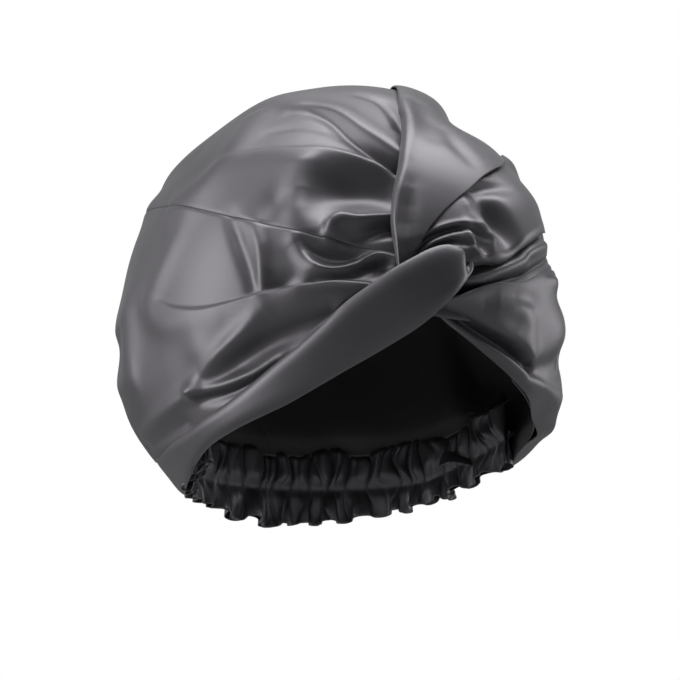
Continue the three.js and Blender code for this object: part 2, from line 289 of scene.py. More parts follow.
# flat coordinates in metres, for the weave
def addWeaveMap(mesh, u, v, down, across):
    layer = mesh.uv_layers.new(name="weave")
    flat = np.zeros((len(mesh.loops), 2))
    rowOf, columnOf = np.divmod(np.arange(down * across), across)
    for corner, (right, up) in enumerate([(0, 0), (1, 0), (1, 1), (0, 1)]):
        flat[corner:4 * down * across:4, 0] = u[np.minimum(columnOf + right, len(u) - 1)]
        flat[corner:4 * down * across:4, 1] = v[rowOf + up]
    layer.data.foreach_set("uv", flat.ravel())


# the ply grows inwards from its shown face
def thicken(piece, thickness):
    ply = piece.modifiers.new("ply", "SOLIDIFY")
    ply.thickness = thickness * toMetres
    ply.offset = -1.0
    return piece


def cutArea(piece):
    return sum(face.area for face in piece.data.polygons)


def newMaterial(name):
    material = bpy.data.materials.new(name)
    material.use_nodes = True
    nodes, links = material.node_tree.nodes, material.node_tree.links
    return material, nodes, links, nodes["Principled BSDF"]


def setInputs(node, values):
    for key, value in values.items():
        node.inputs[key].default_value = value


def addNode(nodes, kind, values, **settings):
    node = nodes.new("ShaderNode" + kind)
    for key, value in settings.items():
        setattr(node, key, value)
    setInputs(node, values)
    return node


satinCloth = {
    "deep": (0.028, 0.027, 0.030, 1),
    "pale": (0.042, 0.040, 0.044, 1),
    "roughness": (0.42, 0.48),
    "anisotropy": 0.2,
    "specular": 1.0,
    "tint": (0.96, 0.92, 1.0, 1),
    "sheen": 0.08,
    "sheenRoughness": 0.4,
    "floatScale": (900.0, 5200.0, 1.0),  # long floats of the weave, per metre
    "floatShare": 0.35,                  # their part in the change of tone
    "cloudScale": 14.0,
    "weaveBump": 0.05,
    "weaveDepth": 0.0004,
    "creaseScale": 46.0,
    "creaseBump": 0.045,
    "creaseDepth": 0.004,
}
# The lining is the same charcoal satin, made paler as painted light: its lighter colour stands in for
# the light that hardly reaches inside the bonnet.
liningClothPaintedLight = dict(
    satinCloth, deep=(0.065, 0.064, 0.067, 1), pale=(0.095, 0.094, 0.098, 1), roughness=(0.5, 0.58),
    specular=0.6,
)


def satinMaterial(name, cloth):
    material, nodes, links, shader = newMaterial(name)
    place = nodes.new("ShaderNodeTexCoord")
    stretch = addNode(nodes, "Mapping", {"Scale": cloth["floatScale"]})
    links.new(place.outputs["UV"], stretch.inputs["Vector"])
    floats = addNode(nodes, "TexNoise", {"Scale": 1.0, "Detail": 2.0})
    links.new(stretch.outputs["Vector"], floats.inputs["Vector"])
    cloud = addNode(nodes, "TexNoise", {"Scale": cloth["cloudScale"], "Detail": 4.0})
    links.new(place.outputs["Object"], cloud.inputs["Vector"])
    tone = addNode(nodes, "Mix", {"A": cloth["deep"], "B": cloth["pale"]}, data_type="RGBA")
    blendTone = addNode(nodes, "Math", {1: cloth["floatShare"]}, operation="MULTIPLY_ADD")
    links.new(floats.outputs["Fac"], blendTone.inputs[0])
    links.new(cloud.outputs["Fac"], blendTone.inputs[2])
    links.new(blendTone.outputs["Value"], tone.inputs["Factor"])
    links.new(tone.outputs["Result"], shader.inputs["Base Color"])
    least, most = cloth["roughness"]
    gloss = addNode(nodes, "MapRange", {"To Min": least, "To Max": most})
    links.new(cloud.outputs["Fac"], gloss.inputs["Value"])
    links.new(gloss.outputs["Result"], shader.inputs["Roughness"])
    crease = addNode(nodes, "TexNoise", {"Scale": cloth["creaseScale"], "Detail": 3.0})
    links.new(place.outputs["Object"], crease.inputs["Vector"])
    soft = addNode(nodes, "Bump", {"Strength": cloth["creaseBump"], "Distance": cloth["creaseDepth"]})
    links.new(crease.outputs["Fac"], soft.inputs["Height"])
    weave = addNode(nodes, "Bump", {"Strength": cloth["weaveBump"], "Distance": cloth["weaveDepth"]})
    links.new(floats.outputs["Fac"], weave.inputs["Height"])
    links.new(soft.outputs["Normal"], weave.inputs["Normal"])
    links.new(weave.outputs["Normal"], shader.inputs["Normal"])
    setInputs(shader, {
        "Anisotropic": cloth["anisotropy"], "Specular IOR Level": cloth["specular"],
        "Specular Tint": cloth["tint"], "Sheen Weight": cloth["sheen"],
        "Sheen Roughness": cloth["sheenRoughness"],
    })
    return material


satin = satinMaterial("charcoal_satin", satinCloth)
# paler copy of the satin, as painted light for the shaded inside
liningSatinPaintedLight = satinMaterial("lining_satin_painted_light", liningClothPaintedLight)


def sew(piece, node, material):
    piece.data.materials.append(material)
    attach(piece, "root")
    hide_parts(node)
    print(piece.name, "cloth area", round(cutArea(piece), 4))


def hemHeight(turn):
    shift = bonnet["browShift"] * (1 - smooth(np.abs(turn), 30, 75))
    return bonnet["browHeight"] * through(bonnet["hemShares"], np.abs(turn + shift))


# a point over the hem of the opening
def overHem(turn, height, out):
    t = np.radians(turn)
    x = (bonnet["openingHalfWidth"] + out) * np.sin(t)
    y = -bonnet["openingForward"] - (bonnet["openingHalfDepth"] + out) * np.cos(t)
    return np.stack([x, y, hemHeight(turn) + height + 0 * t], -1)


def hemRoll(turn):
    return bonnet["hemRoll"] * between(turn, bonnet["hemRollTurns"])


def seamRise(turn):
    return 4 + 12.5 * (1 - np.cos(np.radians(1.5 * np.minimum(np.abs(turn), 120))))


def bandRise(turn):
    left = through(bonnet["leftBandRises"], np.abs(turn))
    return np.where(turn > 0, through(bonnet["rightBandRises"], turn), left)


# Folds of the crown and the two sides, drawn on the photograph where they show
drape = {
    "folds": [
        # crown, left of the flap
        fold(seen([(272, 101), (305, 103), (333, 108), (360, 123), (379, 136), (399, 153)], 3),
             [1, 3, 3.5, 3.5, 4], 8, 6),
        fold(seen([(284, 115), (300, 112), (316, 114), (331, 120), (351, 136), (372, 150), (398, 167)]),
             [0, -2.5, -3.5, -4.5, -6, -7], 3.5, 4),
        fold(seen([(258, 138), (280, 130), (303, 127), (325, 131), (345, 140), (362, 149)]),
             [0, -0.6, -0.8, -0.7, 0], 3, 3),
        fold(seen([(214, 163), (238, 154), (262, 150), (290, 149), (323, 150), (345, 154), (362, 158),
                   (381, 163), (402, 172)], 4), [0.5, 1.5, 2.5, 3.5, 4.5, 5, 5, 4], 4, 13, 1.5),
        fold(seen([(170, 207), (198, 187), (222, 163), (238, 138), (258, 113)], 2),
             [2, 3, 3, 2], 11, 14),
        fold(seen([(306, 166), (302, 185), (299, 206), (303, 226)], 2), [2, 3.5, 3, 1.5], 7, 9),
        fold(seen([(330, 226), (333, 219), (342, 214), (360, 217), (378, 215), (400, 213)], 4),
             [3, 5.5, 5.5, 5, 5], 3, 5, 1.0),
        fold(seen([(342, 238), (362, 236), (382, 229), (400, 226)]), [-1, -3, -5, -6], 4, 4),
        fold(seen([(362, 95), (381, 100), (394, 111), (402, 126)]), [-1, -3, -4, -4], 4, 4),
        # below the crown seam on the left
        fold(seen([(294, 241), (301, 253), (314, 264), (327, 269), (342, 268), (356, 262), (368, 256),
                   (380, 254), (396, 258)], 3), [1.5, 3.5, 5, 5, 5, 4.5, 4, 4], 3, 5, 1.0),
        fold(seen([(316, 280), (345, 277), (366, 271), (384, 266)]), [-2, -3.5, -3.5, -3], 4, 4),
        fold(seen([(150, 300), (169, 309), (196, 311), (227, 305), (262, 296), (298, 289), (325, 285),
                   (350, 284), (380, 287)], 3), [0.5, 1.2, 2, 3, 4, 5, 5, 4], 1.8, 16, 1.5),
        fold(seen([(187, 210), (172, 240), (153, 280), (145, 300), (148, 315), (161, 323), (184, 321),
                   (214, 316)], 2), [0.4, 1.1, 1.5, 1.6, 1.5, 1.1, 0.4], 8, 8),
        fold(seen([(230, 217), (239, 245), (247, 268), (252, 286)]), [-1, -2, -2, -1.5], 4, 4),
        fold(seen([(253, 226), (259, 246), (260, 268), (258, 288)], 2), [1, 2, 2, 1], 4, 4),
        fold(seen([(262, 312), (244, 331), (222, 351), (206, 367), (193, 381), (186, 391)], 3),
             [1, 3, 4, 3.5, 3, 2], 6, 5),
        fold(seen([(203, 380), (235, 360), (268, 342), (300, 328), (330, 318)]),
             [-2, -4.5, -5, -4.5, -3], 6, 6),
        fold(seen([(187, 391), (206, 388), (224, 383), (252, 373), (276, 357)], 3),
             [2.5, 3.5, 3.5, 3, 1.5], 3, 4),
        fold(seen([(198, 399), (224, 393), (250, 381), (274, 365)]), [-1.5, -3, -3, -2], 3, 3),
        fold(seen([(187, 392), (168, 405), (152, 421), (143, 438)], 2), [2, 2.2, 2, 1.5], 4, 5),
        fold(seen([(148, 446), (163, 436), (182, 424)]), [-2, -2.5, -2], 4, 4),
        # right of the knot
        fold(np.vstack([seen([(470, 281), (487, 275), (520, 261), (536, 248)], 3),
                        placed([(54, 19), (80, 18), (105, 18)])]), [4.5, 5, 1, 0.5, 0, 0], 4, 4),
        fold(np.vstack([seen([(462, 294), (480, 288), (502, 281), (526, 275), (543, 265)]),
                        placed([(44, 14)])]), [-1.5, -2.5, -3, -3, -2.5, 0], 2, 2),
        # hidden side and back
        fold(placed([(60, 2), (85, 0), (115, 2), (140, 6)]), [1, 3, 2.5, 1], 6, 12),
        fold(placed([(62, -10), (90, -14), (120, -16)]), [1, 3, 1.5], 6, 10),
        fold(placed([(156, 33), (175, 32), (195, 36)]), [0, 2, 1], 8, 12, 0, 8),
        fold(placed([(158, 50), (180, 53), (205, 55), (235, 52)]), [0, 2, 2.5, 1], 8, 12, 0, 8),
        fold(placed([(-95, 44), (-120, 40), (-150, 42), (-175, 46)]), [1, 2.5, 2.5, 1], 9, 14),
        fold(placed([(-95, 3), (-120, 0), (-148, 4)]), [1, 3, 1], 7, 14),
        fold(placed([(-100, -14), (-125, -12), (-150, -8)]), [1, 2.5, 1], 7, 10),
    ],
    "dents": [
        seenDent((356, 187), -10, 22, 13, 4),     # spoon-shaped hollow beside the flap
        seenDent((390, 196), -4, 9, 12),
        seenDent((272, 203), -1.6, 8, 9),
        seenDent((349, 256), -7, 22, 6.5, -6),    # hollow under the crown seam
        seenDent((281, 283), -3.5, 9, 5, 8),
        seenDent((338, 222), 2.5, 5, 5, lift=4),
        seenDent((200, 350), 1.5, 12, 9),
        seenDent((130, 340), 4.0, 14, 24),
    ],
}

# the right flank sits closer to the head than the plain dome, and the left one is fuller
bodyDents = [
    placedDent((40, 36), -6, 34, 26),
    placedDent((46, 10), -6.5, 30, 28),
    placedDent((58, -10), -5, 34, 26),
    placedDent((62, 52), -6, 32, 26),
    placedDent((-114, -20), 5, 46, 26),
    placedDent((46, 52), -14.5, 46, 15),
    placedDent((45, 18), -7, 30, 10),
    placedDent((58, -26), 4, 16, 9),
    placedDent((44, 16), -8, 22, 7),
    placedDent((50, 3), -7, 34, 8),
    placedDent((48, -10), -3, 14, 7),
    placedDent((50, -20), 4, 16, 11),
    seenDent((275, 102), 2.5, 26, 14),
    seenDent((149, 207), 2, 16, 8),
]


def bodyHeight(base):
    return foldField(base, [], bodyDents)[0]


# relief that the crown and sides share, so that they meet along the seam
def drapeRelief(base, share=1.0):
    height, shift = foldField(base, drape["folds"], drape["dents"])
    height = bodyHeight(base) + height * share
    return height, shift * np.asarray(share, float).reshape(-1, 1)


def seamDip(distance):
    return 0.5 * np.exp(-(distance / 0.9) ** 2)


crownPanel = {
    "columns": 560,
    "rows": 170,
    "thickness": 0.6,
    "poleRise": 88.5,
    "crowd": (24.0, 50.0),   # columns crowd towards the front left, which shows most
    "tuck": 12.0,            # degrees by which it runs on under the knot and the bands
    "tuckDepth": 7.0,
    "tuckTurns": (-22, -12, 30, 42),
}


def makeCrown():
    turn = np.linspace(-180, 180, crownPanel["columns"], endpoint=False)
    crowd, crowdTurn = crownPanel["crowd"]
    turn = turn + crowd * np.sin(np.radians(turn + crowdTurn))
    turn = np.sort((turn + 180) % 360 - 180)
    v = np.linspace(0, 1, crownPanel["rows"])[:, None]
    tucked = crownPanel["tuck"] * between(turn, crownPanel["tuckTurns"])
    low = seamRise(turn) - tucked
    rise = mixed(low[None] + 0.01, crownPanel["poleRise"], v ** 1.1)
    base = domeAt(turn[None] + 0 * v, rise)
    flat = base.reshape(-1, 3)
    height, shift = drapeRelief(flat)
    fromSeam = ((rise - low[None]) * math.radians(1) * domeAxes[2]).ravel()
    sunk = crownPanel["tuckDepth"] * smooth(seamRise(turn)[None] - rise, 3, 6.5).ravel()
    height = height - seamDip(fromSeam) - sunk * (tucked[None] + 0 * v).ravel() / crownPanel["tuck"]
    grid = (lifted(flat, height) + shift).reshape(base.shape)
    piece = thicken(clothMesh("crown_ply", grid, wrap=True, top=True), crownPanel["thickness"])
    sew(piece, "crown_panel", satin)


# lower edge of a side: under the band in front, under the top of the casing behind;
# the lining goes down behind the band to the hem
def sideEdge(turn, panel, change, lining):
    front = overHem(turn, panel["aboveHem"], 0.2 - panel["rollShare"] * hemRoll(turn))
    if not lining:
        # on the right, where one looks in behind the band, the side goes down to the hem as well
        behindBand = domeAt(turn, bandRise(turn) - panel["bandTuck"], panel["bandLift"])
        front = mixed(behindBand, front, smooth(turn, *bonnet["lookInTurns"][:2])[:, None])
    back = overHem(turn, bonnet["casingHeight"] - panel["casingTuck"], panel["casingOut"])
    start, end = change
    # first it climbs, then it is drawn in
    climbed = smooth(np.abs(turn), start, mixed(start, end, 0.6))
    drawnIn = smooth(np.abs(turn), mixed(start, end, 0.4), end)[:, None]
    edge = mixed(front, back, drawnIn)
    edge[:, 2] = mixed(front[:, 2], back[:, 2], climbed)
    return edge


sidePanel = {
    "columns": 360,
    "rows": 150,
    "thickness": 0.6,
    "tipTurn": 21.0,
    # turns between which the lower edge goes over from the band to the casing, left and right
    "change": [(116.0, 138.0), (112.0, 140.0)],
    "aboveHem": 3.0,
    "rollShare": 0.15,     # how much of the hem's roll it follows
    "bandTuck": 2.0,
    "bandLift": -2.5,
    "casingTuck": 2.5,
    "casingOut": -3.4,
}
napeGathers = {"count": 26.0, "depth": 4.0, "from": 112.0, "to": 150.0}


def sideGrid(side, panel, lining=False):
    u = np.linspace(0, 1, panel["columns"]) ** 1.15
    turn = side * mixed(panel["tipTurn"], 180.0, u)
    if side < 0:
        turn = turn[::-1]
    edge = sideEdge(turn, panel, panel["change"][side > 0], lining)
    low = riseOf(edge[:, 2])
    v = np.linspace(0, 1, panel["rows"])[:, None]
    rise = mixed(low[None], seamRise(turn)[None] - 0.01, v)
    base = domeAt(turn[None] + 0 * v, rise)
    flat = base.reshape(-1, 3)
    fade = (smooth(v, 0, 0.1) + 0 * turn[None]).ravel()
    height, shift = drapeRelief(flat, fade)
    if lining:
        waves = liningWaves(turn[None] + 0 * v, rise) * between(v, (0, 0.15, 0.85, 1))
        height, shift = (np.minimum(height, 0) + panel["lift"] + waves.ravel()) * fade, 0 * shift
    else:
        nape = smooth(np.abs(turn), napeGathers["from"], napeGathers["to"])[None]
        nape = nape * between(v, (0, 0.04, 0.04, 0.62))
        sway = turn[None] + 1.6 * np.sin(9 * v + turn[None] / 9)
        wave = 1 - np.abs(np.cos(np.radians(napeGathers["count"] * sway / 2))) ** 0.8
        wave = wave * (0.75 + 0.35 * np.sin(turn[None] * 0.31))
        fromSeam = ((seamRise(turn)[None] - rise) * math.radians(1) * domeAxes[2]).ravel()
        height = height + (napeGathers["depth"] * wave * nape).ravel() - seamDip(fromSeam)
    # behind the right band it is drawn in only over the height of that band
    reach = mixed(1.0, 0.2, between(turn, bonnet["lookInTurns"]))
    drawn = (edge - domeAt(turn, low))[None] * (1 - smooth(v, 0, reach[None]))[..., None]
    return (lifted(flat, height) + shift).reshape(base.shape) + drawn


def makeSide(side):
    word = "left" if side < 0 else "right"
    piece = thicken(clothMesh(f"side_{word}_ply", sideGrid(side, sidePanel)), sidePanel["thickness"])
    sew(piece, f"side_panel_{word}", satin)


liningPly = {
    "columns": 240,
    "rows": 80,
    "crownColumns": 180,
    "crownRows": 50,
    "thickness": 0.4,
    "tipTurn": 21.0,
    "poleRise": 88.0,
    "change": [(84.0, 98.0), (84.0, 98.0)],
    "aboveHem": 2.0,
    "rollShare": 0.4,
    "casingTuck": 9.0,
    "casingOut": -8.0,
    "lift": -3.2,
    "foldDepth": 1.1,
}


# soft upright folds of the lining, which only ever stand inwards
def liningWaves(turn, rise):
    wave = np.sin(np.radians(turn * 8 + 0.7 * rise)) + 0.6 * np.sin(np.radians(turn * 15 - rise))
    return -liningPly["foldDepth"] * (1 + 0.62 * wave)


def makeLinings():
    for side in (-1, 1):
        word = "left" if side < 0 else "right"
        grid = sideGrid(side, liningPly, lining=True)
        piece = thicken(clothMesh(f"lining_{word}_ply", grid), liningPly["thickness"])
        sew(piece, f"lining_{word}", liningSatinPaintedLight)
    turn = np.linspace(-180, 180, liningPly["crownColumns"], endpoint=False)
    v = np.linspace(0, 1, liningPly["crownRows"])[:, None]
    rise = mixed(seamRise(turn)[None] + 0.02, liningPly["poleRise"], v)
    base = domeAt(turn[None] + 0 * v, rise)
    height = np.minimum(drapeRelief(base.reshape(-1, 3))[0], 0).reshape(rise.shape)
    grid = lifted(base, height + liningPly["lift"])
    piece = thicken(clothMesh("lining_crown_ply", grid, wrap=True, top=True), liningPly["thickness"])
    sew(piece, "lining_crown", liningSatinPaintedLight)


# A band is folded double: its ring goes up the front from the hem and down the back
def bandRing(points):
    angle = np.linspace(0, 2 * math.pi, points, endpoint=False)
    across = 0.5 - 0.5 * np.cos(angle)
    rim = np.sign(np.sin(angle)) * np.abs(np.sin(angle)) ** 0.6
    return across, rim, angle < math.pi


leftBand = {
    "thickness": 2.2,
    "bulge": [(0, 0.5), (0.12, 1), (0.3, 2.2), (0.6, 3.2), (0.85, 3), (1, 1)],
    "rings": 260,
    "ringPoints": 110,
    # pixel x, pixel y and lift of its upper edge and of its lower edge, from the left to the knot
    "upper": [(160, 457, 0.3), (171, 444, 0.6), (190, 430, 0.8), (206, 417, 0.8), (227, 403, 0.8),
              (250, 385, 0.8), (275, 364, 0.8), (300, 344, 1), (324, 323, 1.5), (345, 303, 2.5),
              (370, 285, 4.5), (396, 268, 7.5), (416, 257, 9.5), (432, 249, 11), (446, 245, 11.5),
              (457, 246, 11), (464, 250, 9), (467, 256, 5), (466, 261, -2)],
    "lower": [(185, 494, -3), (189, 479, -2), (198, 461, -0.8), (212, 445, 0.8), (236, 430, 2),
              (262, 417, 2.4), (289, 404, 2), (318, 387, 0.8), (345, 371, -0.4), (368, 358, -0.6),
              (392, 344, 0), (412, 332, 2), (425, 323, 4), (436, 314, 6), (447, 304, 8), (457, 294, 9),
              (465, 283, 8), (470, 273, 4), (469, 268, -2)],
    # turn, rise and lift of its tail, which is sewn in behind the side
    "tailUpper": [(-126, -33, -18), (-116, -33, -3)],
    "tailLower": [(-126, -42, -20), (-117, -44, -9)],
    # the slit between the two rims of the curled end
    "slit": {"at": (467, 261), "lift": 8.0, "depth": 5.0, "wide": 1.6, "tall": 5.0},
}


def bandEdge(tail, stops):
    shownPart = [lifted(seen([(x, y)], lift), [lift]) for x, y, lift in stops]
    return np.vstack([domeAt(*np.array(tail, float).T)] + shownPart)


def makeLeftBand():
    high = bandEdge(leftBand["tailUpper"], leftBand["upper"])
    low = bandEdge(leftBand["tailLower"], leftBand["lower"])
    edges = smoothLine(np.hstack([low, high]), count=leftBand["rings"])
    low, high = edges[:, :3], edges[:, 3:]
    along = np.gradient(low + high, axis=0)
    out = unit(np.cross(along, high - low))
    across, rim, front = bandRing(leftBand["ringPoints"])
    # nearly flat, and rounded off along both edges
    swell = (1 - np.abs(2 * across - 1) ** 4) * np.where(front, 1.0, 0.4)
    bulge = through(leftBand["bulge"], np.linspace(0, 1, leftBand["rings"]))
    depth = leftBand["thickness"] / 2 * rim[None] + bulge[:, None] * swell[None]
    grid = mixed(low[:, None], high[:, None], across[None, :, None]) + out[:, None] * depth[..., None]
    slit = leftBand["slit"]
    groove = seenDent(slit["at"], -slit["depth"], slit["wide"], slit["tall"], lift=slit["lift"])
    flat = grid.reshape(-1, 3)
    grid = lifted(flat, foldField(ontoDome(flat), [], [groove])[0]).reshape(grid.shape)
    piece = clothMesh("band_left_ply", grid[::-1], wrap=True, top=True, bottom=True)
    sew(piece, "front_band_left", satin)


rightBand = {
    "thickness": 2.2,
    "turns": (109.0, -19.0),
    "lift": (0.3, 1.8),
    # the far end is sewn in behind the side
    "tailTurns": (90, 106),
    "tailIn": 12.0,
    "tailRise": 14.0,
    "tailHem": (5.0, -8.0),   # how far its hem goes up and out
    # under the left band its hem climbs out of sight
    "tipTurns": (-18, -6),
    "tipClimb": 5.0,
    "rollReach": 0.22,        # share of its height that the rolled hem takes
    "rings": 300,
    "ringPoints": 170,
    # pixels that a fold runs through, then its heights and its spread over and under that line
    "traced": [
        ([(484, 309), (505, 309), (521, 311), (529, 320), (532, 334), (531, 347)],
         [0.5, 1.6, 2, 2, 1.6, 0.6], 6, 6, 0, 12),
        ([(502, 298), (516, 298), (532, 298)], [-1, -1.8, -1.6], 4.5, 4.5, 0, 10),
        # the dark wedge, the lap over it and the roll along the mouth under it
        ([(446, 303), (464, 314), (484, 325), (502, 334), (516, 341), (528, 350), (534, 361)],
         [1, 2, 2.6, 3, 3, 2.6, 1.5], 6, 1.5),
        ([(444, 309), (461, 321), (480, 333), (499, 344), (516, 355), (530, 369)],
         [-2.5, -4.5, -5.5, -6.5, -7, -4], 2.2, 2.2),
        ([(440, 317), (457, 327), (478, 340), (503, 356), (521, 369), (534, 380), (552, 391),
          (562, 397)], [1.5, 1.8, 2, 2.4, 2.6, 2.2, 1.4, 0.8], 2.6, 6),
        ([(533, 371), (546, 367), (557, 363)], [-1.2, -1.6, -1.2], 6, 6),
    ],
    "hidden": [fold(placed([(58, -8), (80, -16), (105, -22)]), [1, 2, 1], 6, 8)],
    "dents": [seenDent((560, 333), 2, 12, 10), seenDent((553, 283), 2.5, 10, 5)],
}


def makeRightBand():
    turn = mixed(*rightBand["turns"], np.linspace(0, 1, rightBand["rings"]) ** 0.75)
    across, rim, front = bandRing(rightBand["ringPoints"])
    thickness = rightBand["thickness"]
    climb = rightBand["tipClimb"] * (1 - smooth(turn, *rightBand["tipTurns"]))
    tail = smooth(turn, *rightBand["tailTurns"])
    tailUp, tailOut = rightBand["tailHem"]
    edge = overHem(turn, thickness / 2 + climb + tailUp * tail, thickness + tailOut * tail)
    low = riseOf(edge[:, 2])
    high = through(bonnet["rightBandRises"], turn) + rightBand["tailRise"] * tail
    base = domeAt(turn[:, None] + 0 * across, mixed(low[:, None], high[:, None], across[None]))
    flat = base.reshape(-1, 3)
    drawn = (edge - domeAt(turn, low))[:, None] * (1 - smooth(across, 0, 1))[None, :, None]
    inward = overHem(turn, 0.0, -hemRoll(turn)) - overHem(turn, 0.0, 0.0)
    rolled = (1 - np.minimum(across / rightBand["rollReach"], 1)) ** 2
    drawn = drawn + inward[:, None] * rolled[None, :, None]
    plain = bodyHeight(flat).reshape(base.shape[:2]) + mixed(*rightBand["lift"], across)[None]
    plain = plain + thickness / 2 * rim[None] - rightBand["tailIn"] * tail[:, None]
    sheet = lifted(base, plain) + drawn
    faces = base[:, front].reshape(-1, 3), sheet[:, front].reshape(-1, 3)
    folds = [fold(shown(pixels, *faces), *shape) for pixels, *shape in rightBand["traced"]]
    # the folds die away at the hem and at the upper rim, where the cloth turns over
    held = smooth(across, 0, 0.05) * mixed(1, 0.35, smooth(across, 0.92, 1))
    height = foldField(flat, folds + rightBand["hidden"], rightBand["dents"])[0].reshape(plain.shape)
    grid = lifted(base, plain + height * held[None]) + drawn
    piece = clothMesh("band_right_ply", grid, wrap=True, top=True, bottom=True)
    sew(piece, "front_band_right", satin)


flap = {
    "lift": 9.0,
    "thickness": 0.7,
    "left": np.vstack([seen([(402, 272), (398, 248), (394, 222), (394, 204), (396, 185), (400, 165),
                             (402, 150), (404, 131), (404, 112), (401, 98)], 8),
                       placed([(-2, 64), (30, 76), (110, 68), (140, 29)])]),
    "right": np.vstack([seen([(416, 262), (424, 238), (438, 219), (452, 205), (466, 193), (480, 180),
                              (494, 170), (506, 161)], 4), placed([(56, 45), (86, 43), (106, 28.5)])]),
    "columns": 110,
    "rows": 300,
    "folds": [
        fold(seen([(408, 94), (410, 112), (408, 130), (404, 152)], 9), [1, 1.8, 1.8, 0.8], 5, 4),
        fold(seen([(424, 96), (429, 116), (434, 136)], 8), [-1, -1.8, -0.8], 7, 7),
        fold(seen([(446, 130), (455, 148), (468, 164)], 5), [-0.8, -1.4, -0.8], 5, 5),
        fold(seen([(411, 190), (409, 206), (408, 222), (409, 242)], 7),
             [-0.8, -2.4, -3, -2.4], 4, 6, 0, 6),
    ],
}
puff = {
    "lift": 7.6,
    "thickness": 0.7,
    "left": np.vstack([seen([(412, 262), (420, 232), (433, 212), (447, 198), (461, 186), (475, 173),
                             (489, 163), (501, 155)], 1), placed([(56, 44), (86, 42), (105, 29.5)])]),
    "right": np.vstack([seen([(440, 268), (462, 268), (482, 265), (496, 265), (509, 260),
                              (523, 248)], 3),
                        placed([(30, 17), (46, 21), (60, 23), (86, 26), (101, 28.5)])]),
    "columns": 150,
    "rows": 220,
    "folds": [
        # two creases that run into the knot, and the lip over the upper one
        fold(seen([(417, 251), (430, 237), (446, 230), (462, 227), (474, 229), (485, 236)], 9),
             [-2, -3, -3.2, -3.2, -2.5, -1], 1.3, 1.6),
        fold(seen([(419, 246), (432, 232), (447, 225), (463, 222), (476, 223)], 9),
             [1, 1, 0.8, 0.6, 0.4], 1.5, 1.5),
        fold(seen([(432, 249), (443, 244), (456, 241), (466, 243)], 9),
             [-2, -2.6, -2.6, -1.5], 1.4, 1.4),
        # ridges round the almond-shaped hollow
        fold(seen([(471, 231), (474, 241), (480, 253), (487, 259)], 10), [2, 3, 3, 1.5], 2.5, 2),
        fold(seen([(476, 196), (483, 205), (489, 221), (494, 232), (492, 246)], 10),
             [0.6, 1.5, 2.5, 2.6, 1.5], 3, 4),
        fold(seen([(467, 195), (471, 203), (474, 210)], 10), [0.5, 0.7, 0.4], 2.5, 2.5),
    ],
    "dents": [
        seenDent((498, 218), -8, 6.5, 14, 30, lift=10),
        seenDent((484, 244), -3, 4, 6, 20, lift=10),
        seenDent((490, 184), -3.5, 14, 4.5, 12, lift=10),
        placedDent((33, 37), 4, 14, 9),
    ],
}
crownGap = {"plain": 1.5, "least": 0.9}   # how far the flap and the puff stay off the crown


def drapeGrid(form, liftAt):
    leftEdge = smoothLine(form["left"], count=form["rows"])
    rightEdge = smoothLine(form["right"], count=form["rows"])
    u = np.linspace(0, 1, form["columns"])[None, :]
    v = np.linspace(0, 1, form["rows"])[:, None]
    base = ontoDome(mixed(leftEdge[:, None], rightEdge[:, None], u[..., None]))
    flat = base.reshape(-1, 3)
    height, shift = foldField(flat, form["folds"], form.get("dents", ()))
    height = height.reshape(base.shape[:2])
    lift = np.maximum(crownGap["plain"] + liftAt(u, v) + height, crownGap["least"])
    lift = lift + bodyHeight(flat).reshape(lift.shape)
    return lifted(base, lift) + shift.reshape(base.shape)


def flapLiftAt(u, v):
    along = (1 - 0.8 * smooth(v, 0.15, 0.45)) * (1 - smooth(v, 0.5, 1))
    along = along * (0.3 + 0.7 * smooth(v, 0, 0.05))
    roll = np.sqrt(np.clip(1 - (1 - np.minimum(u / 0.14, 1)) ** 2, 0, 1))
    return flap["lift"] * (1 - 0.22 * u) * along * (0.15 + 0.85 * roll)


def puffLiftAt(u, v):
    lip = np.sqrt(np.clip(1 - (np.clip(u - 0.86, 0, 1) / 0.14) ** 2, 0, 1))
    # beside the knot it lies almost level, higher up it comes out from under the flap
    start = mixed(-1.2, -0.2, smooth(v, 0.16, 0.28))
    swell = smooth(u, start, 0.7) * (0.12 + 0.88 * lip)
    return puff["lift"] * swell * smooth(v, -0.15, 0.15) * (1 - smooth(v, 0.2, 0.5))


def makeDrapes():
    piece = thicken(clothMesh("twist_flap_ply", drapeGrid(flap, flapLiftAt)), flap["thickness"])
    sew(piece, "twist_flap", satin)
    piece = thicken(clothMesh("twist_puff_ply", drapeGrid(puff, puffLiftAt)), puff["thickness"])
    sew(piece, "twist_puff", satin)


knotCore = {
    "place": (-11.5, 0.5, 1.5),   # turn, rise and lift
    "size": (15.5, 6.0, 7.0),
    "lean": 0.5,
    "pleats": 9,
    "pleatDepth": 0.12,
    "columns": 72,
    "rows": 40,
    "endRise": 84,
}


def makeCore():
    centre = domeAt(*[np.array(x) for x in knotCore["place"]])
    turn = np.linspace(0, 2 * math.pi, knotCore["columns"], endpoint=False)[None]
    rise = np.radians(np.linspace(-knotCore["endRise"], knotCore["endRise"], knotCore["rows"]))[:, None]
    pinch = 1 - knotCore["pleatDepth"] * np.abs(np.cos(turn * knotCore["pleats"] / 2)) * np.cos(rise)
    ball = np.stack([np.cos(rise) * np.cos(turn) * pinch, np.cos(rise) * np.sin(turn) * pinch,
                     np.sin(rise) + 0 * turn], -1)
    ball = ball * np.array(knotCore["size"])
    # its right end goes in behind the right band
    ball[..., 1] += knotCore["lean"] * np.maximum(ball[..., 0], 0)
    grid = centre + ball
    piece = clothMesh("twist_core_ply", grid, wrap=True, top=True, bottom=True)
    sew(piece, "twist_core", satin)


